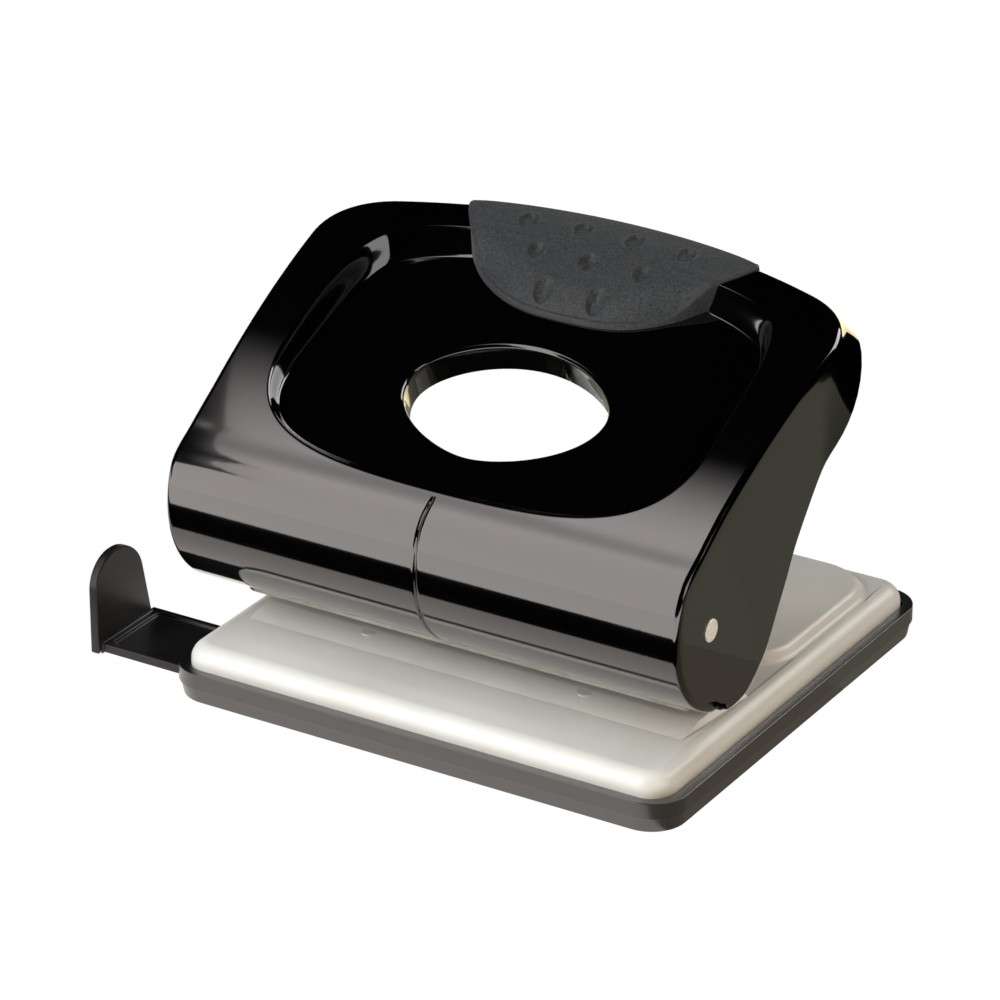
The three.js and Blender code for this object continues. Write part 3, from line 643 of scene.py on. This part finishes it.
def pick(obj, kind, wanted):
    """Edit mode with only the wanted faces, edges or points selected, by their middle (mm) and direction."""
    activate(obj)
    bpy.ops.object.mode_set(mode="EDIT")
    bpy.ops.mesh.select_mode(type=kind)
    bpy.ops.mesh.select_all(action="DESELECT")
    mesh = bmesh.from_edit_mesh(obj.data)
    mesh.normal_update()
    for item in {"FACE": mesh.faces, "EDGE": mesh.edges, "VERT": mesh.verts}[kind]:
        corners = [item.co] if kind == "VERT" else [v.co for v in item.verts]
        middle = (sum(corners, Vector()) / len(corners) - spot(0, 0, 0)) / MM
        direction = (corners[1] - corners[0]).normalized() if kind == "EDGE" else item.normal
        item.select_set(bool(wanted(middle, direction)))
    bmesh.update_edit_mesh(obj.data)


def leave_edit():
    bpy.ops.object.mode_set(mode="OBJECT")


def round_edges(obj, wanted, radius, segments):
    pick(obj, "EDGE", wanted)
    bpy.ops.mesh.bevel(offset=radius * MM, offset_type="OFFSET", segments=segments, profile=0.5,
                       affect="EDGES")
    leave_edit()


def is_upright(middle, direction):
    return abs(direction.z) > 0.99


def shrink_face(obj, wanted, aside, x_half, y_half, middle):
    """Draws a picked end face in by "aside" mm all round."""
    pick(obj, "FACE", wanted)
    bpy.ops.transform.resize(value=((x_half - aside) / x_half, (y_half - aside) / y_half, 1),
                             center_override=middle)
    leave_edit()


def break_corners(obj, width, segments, degrees):
    """Rounds every edge that turns by more than this."""
    modify(obj, "BEVEL", width=width * MM, segments=segments, limit_method="ANGLE",
           angle_limit=math.radians(degrees), use_clamp_overlap=True)


def bite(obj, cutter, operation="DIFFERENCE"):
    """Cuts away or joins on another solid, which is used up."""
    modify(obj, "BOOLEAN", object=cutter, operation=operation, solver="EXACT")
    bpy.data.objects.remove(cutter, do_unlink=True)


def smooth_flats(obj, degrees=40):
    """Smooth over the rounds, with the flats weighted to stay flat."""
    soften(obj, degrees)
    modify(obj, "WEIGHTED_NORMAL", keep_sharp=True, weight=60)


# ------------------------------------------------------------------ base plate, mm
PLATE_INSET, PLATE_LOW, PLATE_TOP, PLATE_CORNER, PLATE_SHOULDER = 2.5, 5.2, 10.5, 6.0, 3.8
PLATEAU_FRONT, PLATEAU_SIDE, PLATEAU_REAR, PLATEAU_CORNER, PLATEAU_RISE = 53.0, 6.2, 5.8, 12.0, 2.1
PLATEAU_SLOPE = 2.08                      # how far the plateau's sides lean in over their height
PLATE_SHEET, PLATE_BLEND = 1.0, 0.8
LID_BORE, DIE_BORE = 4.1, 2.86            # radii, round the punches
DIE_RAMP, DIE_END_RAMP, DIE_EDGE = 7.0, 2.0, 0.3
PUNCH_X, PUNCH_Y = 40.0, 31.9
BEYOND = 1.0                              # how far a cutter starts or ends outside what it cuts


def make_base_plate():
    """A drawn steel lid: round corners, a full round shoulder and a soft raised plateau behind the throat."""
    half, front, rear = HALF_WIDTH - PLATE_INSET, PLATE_INSET, DEPTH - PLATE_INSET
    plate = slab((-half, half), (front, rear), (PLATE_LOW, PLATE_TOP))
    round_edges(plate, is_upright, PLATE_CORNER, 12)
    round_edges(plate, lambda m, d: abs(d.z) < 0.1 and m.z > PLATE_TOP - 0.01, PLATE_SHOULDER, 8)
    wide, back = HALF_WIDTH - PLATEAU_SIDE, DEPTH - PLATEAU_REAR
    middle = (PLATEAU_FRONT + back) / 2
    raised = slab((-wide, wide), (PLATEAU_FRONT, back), (PLATE_TOP - BEYOND, PLATE_TOP + PLATEAU_RISE))
    round_edges(raised, is_upright, PLATEAU_CORNER, 14)
    shrink_face(raised, lambda m, d: d.z > 0.9, PLATEAU_SLOPE, wide, back - middle, spot(0, middle, 0))
    bite(plate, raised, "UNION")
    pick(plate, "FACE", lambda m, d: d.z < -0.9 and m.z < PLATE_LOW + 0.01)
    bpy.ops.mesh.delete(type="FACE")
    leave_edit()
    break_corners(plate, PLATE_BLEND, 4, 22)
    modify(plate, "SOLIDIFY", thickness=PLATE_SHEET * MM, offset=-1.0)
    for side in (-1, 1):
        bite(plate, drum(LID_BORE, side * PUNCH_X, PUNCH_Y, 0, 14))
    smooth_flats(plate, 35)
    settle(plate, "base_plate_lid", GREY_ENAMEL)
    return finish_piece(plate, "base", "grey_enamel", "base_plate")


def make_die_plate():
    """A hardened strip stoved over with the lid: its front and ends slope down to it, with the two dies."""
    low, high = [(corner - spot(0, 0, 0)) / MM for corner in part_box("die_plate")]
    die = slab((low.x, high.x), (low.y, high.y), (low.z, high.z))
    pick(die, "EDGE", lambda m, d: abs(d.x) > 0.9 and m.z > high.z - 0.1 and m.y < low.y + 0.1)
    bpy.ops.transform.translate(value=(0, DIE_RAMP * MM, 0))
    leave_edit()
    pick(die, "FACE", lambda m, d: d.z > 0.9)
    bpy.ops.transform.resize(value=((high.x - DIE_END_RAMP) / high.x, 1, 1), center_override=(0, 0, 0))
    leave_edit()
    break_corners(die, DIE_EDGE, 3, 8)
    for side in (-1, 1):
        bite(die, drum(DIE_BORE, side * PUNCH_X, PUNCH_Y, 9, 14))
    smooth_flats(die, 35)
    settle(die, "die_plate_strip", GREY_ENAMEL)
    return finish_piece(die, "base", "grey_enamel", "die_plate")


# ------------------------------------------------------------------ chip tray, mm
TRAY_HEIGHT, TRAY_CORNER, TRAY_WALL, TRAY_RIM, TRAY_FLOOR = 6.1, 8.0, 1.4, 2.2, 1.5
TRAY_WAIST, TRAY_EDGE, RIM_THICK, CUT_LAP = 2.5, 0.35, 1.0, 0.2
FOOT_INSET, FOOT_DRAW, FOOT_LAP = 0.25, 0.55, 0.4    # the band below the waist, drawn in at its lower end
POST_RADIUS, POST_TOP, POST_INSET, FRONT_POST_Y, REAR_POST_INSET = 2.5, 9.5, 9, 31.6, 14
GUIDE_LOW, GUIDE_FRONT, GUIDE_WIDTH, GUIDE_GAUGE = 2.9, 3.5, 20.0, 2.0
SLOT_GAP, SLOT_DEEP = 0.3, 12


def tray_block(inset, low, high, corner):
    block = slab((inset - HALF_WIDTH, HALF_WIDTH - inset), (inset, DEPTH - inset), (low, high))
    round_edges(block, is_upright, corner, 12)
    return block


def make_chip_tray():
    """A moulded tray: an upright band over one drawn in towards the foot, a rim, posts and a guide slot."""
    tray = tray_block(0, TRAY_WAIST, TRAY_HEIGHT, TRAY_CORNER)
    foot = tray_block(FOOT_INSET, -FOOT, TRAY_WAIST + FOOT_LAP, TRAY_CORNER - FOOT_INSET)
    shrink_face(foot, lambda m, d: d.z < -0.9, FOOT_DRAW, HALF_WIDTH - FOOT_INSET, DEPTH / 2 - FOOT_INSET,
                spot(0, DEPTH / 2, 0))
    bite(tray, foot, "UNION")
    under_rim = TRAY_HEIGHT - RIM_THICK
    bite(tray, tray_block(TRAY_WALL, TRAY_FLOOR, under_rim, TRAY_CORNER - TRAY_WALL))
    bite(tray, tray_block(TRAY_RIM, under_rim - CUT_LAP, TRAY_HEIGHT + BEYOND, TRAY_CORNER - TRAY_RIM))
    break_corners(tray, TRAY_EDGE, 3, 50)
    bite(tray, slab((-HALF_WIDTH - BEYOND, SLOT_DEEP - HALF_WIDTH),
                    (GUIDE_FRONT - SLOT_GAP, GUIDE_FRONT + GUIDE_WIDTH + SLOT_GAP),
                    (GUIDE_LOW - SLOT_GAP, TRAY_HEIGHT + BEYOND)))
    for side in (-1, 1):
        for y in (FRONT_POST_Y, DEPTH - REAR_POST_INSET):
            post = drum(POST_RADIUS, side * (HALF_WIDTH - POST_INSET), y, TRAY_FLOOR - 0.5, POST_TOP)
            bite(tray, post, "UNION")
    smooth_flats(tray, 35)
    settle(tray, "chip_tray_moulding", TRAY_ABS)
    return finish_piece(tray, "chip_tray", "black_plastic", "chip_tray")


# ------------------------------------------------------------------ paper guide, mm
GUIDE_INNER, FIN_X, FIN_GAUGE, FIN_TOP, FIN_ROUND, FIN_INSET = 38.0, 80.0, 2.0, 24.3, 7.6, 1.4
POCKET_RIM, POCKET_DEPTH, POCKET_CORNER, GUIDE_EDGE = 1.6, 0.7, 1.0, 0.4


def make_paper_guide():
    """A moulded slide: a shallow channel with raised rims, ending in a round-topped stop, raked behind."""
    low, high = GUIDE_LOW, GUIDE_LOW + GUIDE_GAUGE
    near, far = GUIDE_FRONT, GUIDE_FRONT + GUIDE_WIDTH
    guide = slab((1 - FIN_X, -GUIDE_INNER), (near, far), (low, high))
    pocket = slab((FIN_GAUGE + 1.5 - FIN_X, -GUIDE_INNER - 2), (near + POCKET_RIM, far - POCKET_RIM),
                  (high - POCKET_DEPTH, high + BEYOND))
    round_edges(pocket, is_upright, POCKET_CORNER, 5)
    bite(guide, pocket)
    fin = slab((-FIN_X, FIN_GAUGE - FIN_X), (near - FIN_INSET, far - FIN_INSET), (low, FIN_TOP))
    pick(fin, "FACE", lambda m, d: d.z > 0.9)
    bpy.ops.transform.resize(value=(1, 2 * FIN_ROUND / GUIDE_WIDTH, 1),
                             center_override=spot(0, near - FIN_INSET, 0))
    leave_edit()
    round_edges(fin, lambda m, d: abs(d.x) > 0.99 and m.z > FIN_TOP - 0.01, FIN_ROUND - 0.35, 16)
    bite(guide, fin, "UNION")
    break_corners(guide, GUIDE_EDGE, 3, 45)
    smooth_flats(guide, 35)
    settle(guide, "paper_guide_moulding", BLACK_ABS)
    return finish_piece(guide, "paper_guide", "black_plastic", "paper_guide")


# ------------------------------------------------------------------ grip pad, mm
PAD_PROFILE = np.array([[55.4, 74.6], [57.6, 76.4], [62.6, 80.2], [69.2, 84.0], [76.0, 86.9], [81.0, 88.1],
                        [84.6, 88.5], [88.0, 88.6]])
PAD_OUTLINE = np.array([[0, 59.4], [7, 59.6], [13, 60.6], [18.5, 62.7], [23.7, 66.0], [28.2, 70.4],
                        [31.8, 75.0], [34.1, 78.6], [34.6, 80.0]])
PAD_OVERHANG, PAD_LIP, PAD_EDGE, PAD_GAP = 0.6, 4.0, 0.7, 0.06
PAD_HEART = np.array([0.0, 71.0])
DIMPLES = [(-6.2, 62.9), (6.2, 62.9), (-12.6, 70.2), (0, 70.2), (12.6, 70.2),
           (-18.8, 77.6), (-6.2, 78.2), (6.2, 78.2), (18.8, 77.6)]
DIMPLE_RADIUS, DIMPLE_DEPTH = 2.1, 1.5
PAD_DOME = 6.5                            # how far in from its edge the pad reaches its full height


def smooth_line(points, count):
    """A curve through points, as evenly spread points."""
    return even_run(curve_through(points), np.linspace(0, 1, count))


def pad_loop():
    """The pad in plan: a flattened tongue in front, the lever's bowed rear edge behind."""
    side = smooth_line(PAD_OUTLINE, 150)
    edge = lever_loop()
    rear = edge[(edge[:, 1] > 60) & (edge[:, 0] >= 0) & (edge[:, 0] < 34.2)]
    rear = rear[np.argsort(-rear[:, 0])] + np.array([0, PAD_OVERHANG])
    half = np.concatenate([side, even_run(rear, np.linspace(0, 1, 110))])
    return np.concatenate([half, mirrored(half)[1:-1]])


def inside_dish(plan):
    """How far inside the dish's rim each point of a plan lies; negative outside it."""
    rim, middle = dish_loop(), np.array([0.0, 42.0])
    rim = rim[np.argsort(np.arctan2(*(rim - middle).T[::-1]))]
    turn, reach = np.arctan2(*(rim - middle).T[::-1]), np.hypot(*(rim - middle).T)
    at = np.arctan2(*(plan - middle).T[::-1])
    inner = np.hypot(*(plan - middle).T) < np.interp(at, turn, reach, period=2 * math.pi)
    away = np.min(np.hypot(plan[:, :1] - rim[:, 0], plan[:, 1:] - rim[:, 1]), axis=1)
    return np.where(inner, away, -away)


def pad_seat(plan, run=DISH_WALL):
    """What the pad lies on: the dish floor, its rear wall, then the lever's top behind the dish."""
    floor = dish_floor(plan[:, 1])
    return floor + (profile(plan[:, 1])[1] - floor) * ease(1 - inside_dish(plan) / run)


def pad_top(plan, outline):
    """The crowned top, down to a thin edge at the front and sides, with its dimples."""
    edge = outline[outline[:, 1] < 80.5]
    inward = np.min(np.hypot(plan[:, :1] - edge[:, 0], plan[:, 1:] - edge[:, 1]), axis=1)
    dome = 1 - (1 - np.clip(inward / PAD_DOME, 0, 1)) ** 2.4
    low = pad_seat(plan, 9.0) + 0.5
    full = np.interp(plan[:, 1], *smooth_line(PAD_PROFILE, 200).T)
    z = low + np.maximum(full - low, 0) * dome
    for x, y in DIMPLES:
        away = np.hypot(plan[:, 0] - x, plan[:, 1] - y) / DIMPLE_RADIUS
        bowl = np.sqrt(np.clip(1 - away ** 2, 0, 1))
        z = z - DIMPLE_DEPTH * bowl + 0.1 * np.exp(-((away - 1.15) / 0.14) ** 2)
    return np.column_stack([plan, z])


def make_grip_pad():
    """Moulded rubber: a crowned top with nine finger dimples, its edge round and hooked behind the lever."""
    loop = pad_loop()
    away = outward(loop)
    inner = loop - away * PAD_EDGE
    rings = [pad_top(PAD_HEART + (inner - PAD_HEART) * share, loop) for share in np.linspace(0.012, 1, 100)]
    crest = rings[-1]
    for angle in np.radians(np.linspace(0, 90, 7))[1:]:
        ring = np.column_stack([inner + away * PAD_EDGE * math.sin(angle), crest[:, 2]])
        ring[:, 2] -= PAD_EDGE * (1 - math.cos(angle))
        rings.append(ring)
    wall = rings[-1]
    behind = ease((loop[:, 1] - 77.5) / 2.0)
    seat = np.minimum(pad_seat(loop) + PAD_GAP, wall[:, 2] - 0.05)
    foot = wall.copy()
    foot[:, 2] = seat - behind * PAD_LIP
    rings += blend_rings(wall, foot, 5) + [foot]
    tucked = np.column_stack([loop - away * (PAD_OVERHANG - 0.1), foot[:, 2]])
    raised = tucked.copy()
    raised[:, 2] = seat
    rings += [tucked] + blend_rings(tucked, raised, 3) + [raised]
    for share in (0.9, 0.7, 0.5, 0.3, 0.1):
        plan = PAD_HEART + (loop - PAD_HEART) * share
        rings.append(np.column_stack([plan, pad_seat(plan) + PAD_GAP]))
    pad = skin_of_rings("grip_pad_moulding", rings, RUBBER, cap_first=True, cap_last=True)
    soften(pad, 50)
    return finish_piece(pad, "lever", "charcoal_rubber", "grip_pad")


# ------------------------------------------------------------------ steelwork
STEELWORK = {
    "punch_frame": ("base", 0.25), "lever_yoke": ("lever", 0.2),
    "guide_strap_left": ("base", 0.15), "guide_strap_right": ("base", 0.15), "guide_spring": ("base", 0.1),
    "press_bar": ("lever", 0.15), "pivot_pin_left": ("base", 0.25), "pivot_pin_right": ("base", 0.25),
    "pivot_spacer_left": ("base", 0.15), "pivot_spacer_right": ("base", 0.15),
    "punch_pin_left": ("punch_left", 0.1), "punch_pin_right": ("punch_right", 0.1),
    "punch_collar_left": ("punch_left", 0.1), "punch_collar_right": ("punch_right", 0.1),
    "punch_bush_left": ("base", 0.15), "punch_bush_right": ("base", 0.15),
    "frame_rivet_1": ("base", 0.1), "frame_rivet_2": ("base", 0.1), "frame_rivet_3": ("base", 0.1),
    "frame_rivet_4": ("base", 0.1), "die_rivet_left": ("base", 0.1), "die_rivet_right": ("base", 0.1),
}
SLOT_OF = {part["node"]: part["material_slot"] for part in frame["record"]["subparts"]}
SLOT_FINISH = {"zinc_steel": ZINC, "bright_steel": BRIGHT, "spring_steel": WIRE}
OWN_FINISH = {"pivot_pin_left": PEENED, "pivot_pin_right": PEENED,
              "die_rivet_left": GREY_ENAMEL, "die_rivet_right": GREY_ENAMEL}


def cad_copy(name):
    """A node's mesh as a new piece, its loose triangles merged, left in edit mode and selected all over."""
    piece = nodes[name].copy()
    piece.data = nodes[name].data.copy()
    piece.parent = None
    piece.matrix_world = Matrix()
    for key in list(piece.keys()):
        del piece[key]
    bpy.context.scene.collection.objects.link(piece)
    activate(piece)
    bpy.ops.object.mode_set(mode="EDIT")
    bpy.ops.mesh.select_all(action="SELECT")
    bpy.ops.mesh.remove_doubles(threshold=1e-6)
    return piece


def make_steelwork():
    """Pressed and turned steel: the CAD outline with merged faces, edges broken as tumbling leaves them."""
    for name, (body, edge) in STEELWORK.items():
        piece = cad_copy(name)
        bpy.ops.mesh.dissolve_limited(angle_limit=math.radians(1))
        leave_edit()
        break_corners(piece, edge, 2, 40)
        smooth_flats(piece, 35)
        settle(piece, name + "_finished", OWN_FINISH.get(name, SLOT_FINISH[SLOT_OF[name]]))
        finish_piece(piece, body, SLOT_OF[name], name)


def make_springs():
    """Open turns of wire round each bush."""
    for side, x in (("left", -PUNCH_X), ("right", PUNCH_X)):
        name, slide = "punch_spring_" + side, "punch_" + side + "_slide"
        coil = cad_copy(name)
        leave_edit()
        soften(coil, 60)
        settle(coil, name + "_coil", WIRE)
        finish_piece(coil, "base", "spring_steel", name)
        low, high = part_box(name)
        spot(x, PUNCH_Y, low.z / MM - FOOT)
        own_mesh(coil)


make_base_plate()
make_die_plate()
make_chip_tray()
make_paper_guide()
make_grip_pad()
make_steelwork()
make_springs()


# ------------------------------------------------------------------ camera, floor and lights
def add_camera():
    azimuth, elevation, distance = math.radians(31.455), math.radians(25.233), 1.0296
    aim = spot(-11.977, 55.0, 33.624)       # the middle of the view
    toward = Vector((-math.sin(azimuth) * math.cos(elevation), math.cos(azimuth) * math.cos(elevation),
                     -math.sin(elevation)))
    data = bpy.data.cameras.new("camera")
    data.sensor_width, data.lens = 36.0, 177.8
    data.clip_start, data.clip_end = 0.05, 100.0
    camera = bpy.data.objects.new("camera", data)
    camera.location = aim - toward * distance
    camera.rotation_euler = toward.to_track_quat("-Z", "Y").to_euler()
    bpy.context.scene.collection.objects.link(camera)
    bpy.context.scene.camera = camera


def glow(name, colour, strength, fade=None):
    """A shining surface; fade is the place along Y (m) where its glow starts to fall and where it is gone."""
    material = empty_material(name)
    tree = material.node_tree
    links = {}
    if fade:
        where = node(tree, "ShaderNodeTexCoord")
        axes = node(tree, "ShaderNodeSeparateXYZ", {"Vector": where.outputs["Object"]})
        falloff = node(tree, "ShaderNodeMapRange", {"Value": axes.outputs["Y"]},
                       interpolation_type="SMOOTHSTEP", From_Min=fade[0], From_Max=fade[1],
                       To_Min=strength, To_Max=0.0)
        links["Strength"] = falloff.outputs["Result"]
    shader = node(tree, "ShaderNodeEmission", links, Color=linear(colour), Strength=strength)
    node(tree, "ShaderNodeOutputMaterial", {"Surface": shader.outputs["Emission"]})
    return material


def card(name, corners, colour, strength, fade=None, camera=False, diffuse=False):
    """A studio card (corners in metres) that only shows in reflections, unless told otherwise."""
    mesh = bpy.data.meshes.new(name)
    mesh.from_pydata(corners, [], [tuple(range(len(corners)))])
    mesh.materials.append(glow(name + "_glow", colour, strength, fade))
    obj = bpy.data.objects.new(name, mesh)
    bpy.context.scene.collection.objects.link(obj)
    obj.visible_camera = camera
    obj.visible_diffuse = diffuse
    obj.visible_shadow = False
    return obj


def floor_card(name, x0, x1, y0, y1, z, colour, strength, **sight):
    return card(name, [(x0, y0, z), (x1, y0, z), (x1, y1, z), (x0, y1, z)], colour, strength, **sight)


def soft_light(name, location, target, size, power, colour="#ffffff", glossy=False):
    data = bpy.data.lights.new(name, "AREA")
    data.shape, data.size, data.energy = "SQUARE", size, power
    data.color = linear(colour)[:3]
    light = bpy.data.objects.new(name, data)
    light.location = location
    light.rotation_euler = (Vector(target) - Vector(location)).to_track_quat("-Z", "Y").to_euler()
    light.visible_glossy = glossy
    bpy.context.scene.collection.objects.link(light)


def build_studio():
    floor = floor_card("studio_floor", -20, 20, -20, 20, -0.0002, "#ffffff", 1.0, camera=True, diffuse=True)
    floor.visible_glossy = False
    # What the gloss reflects: pale table with dark gaps, a soft box on the left, a strip on the right.
    floor_card("near_table", -1.5, 0.058, -0.081, 0.02, -0.0001, "#e4dcd6", 1.25)
    floor_card("side_table", 0.0581, 1.5, -0.081, 0.02, -0.0001, "#e0d2bc", 0.26)
    floor_card("far_table", -2.0, 2.0, -2.5, -0.145, -0.0001, "#e4deda", 3.6)
    floor_card("rear_table", -1.5, 1.5, 0.0201, 0.15, -0.0001, "#e0dcc4", 0.3)
    floor_card("back_table", -1.5, 0.05, 0.1501, 1.5, -0.0001, "#ead9b0", 2.2)
    soft_box = [(-1.1, 0.0), (-0.42, 0.0), (-0.42, 0.40), (-0.2, 0.54), (0.04, 0.54), (0.04, 1.0),
                (-1.1, 1.0)]
    card("left_soft_box", [(-0.35, y, z) for y, z in soft_box], "#e6dfdd", 3.9, fade=(-0.17, 0.03))
    strip = [(-0.30, 0.15), (0.0, 0.15), (0.0, 0.60), (-0.30, 0.60)]
    card("right_strip", [(0.6, y, z) for y, z in strip], "#f2eeea", 2.4)
    soft_light("key", (-0.7, -0.9, 0.75), (0, 0, 0.03), 0.7, 22)
    soft_light("fill", (0.75, -0.35, 0.3), (0, 0, 0.01), 0.5, 3.4, "#e8c8a0")
    soft_light("top_fill", (-0.1, -0.5, 1.3), (0, 0, 0.03), 0.8, 8, "#eef2ff")
    soft_light("rear_fill", (0.5, 0.9, 0.9), (0, 0, 0.03), 0.8, 9, glossy=True)
    world = bpy.data.worlds.new("studio")
    world.use_nodes = True
    world.node_tree.nodes["Background"].inputs["Color"].default_value = linear("#ffffff")
    world.node_tree.nodes["Background"].inputs["Strength"].default_value = 0.0
    bpy.context.scene.world = world
    bpy.context.scene.view_settings.view_transform = "Standard"


add_camera()
build_studio()
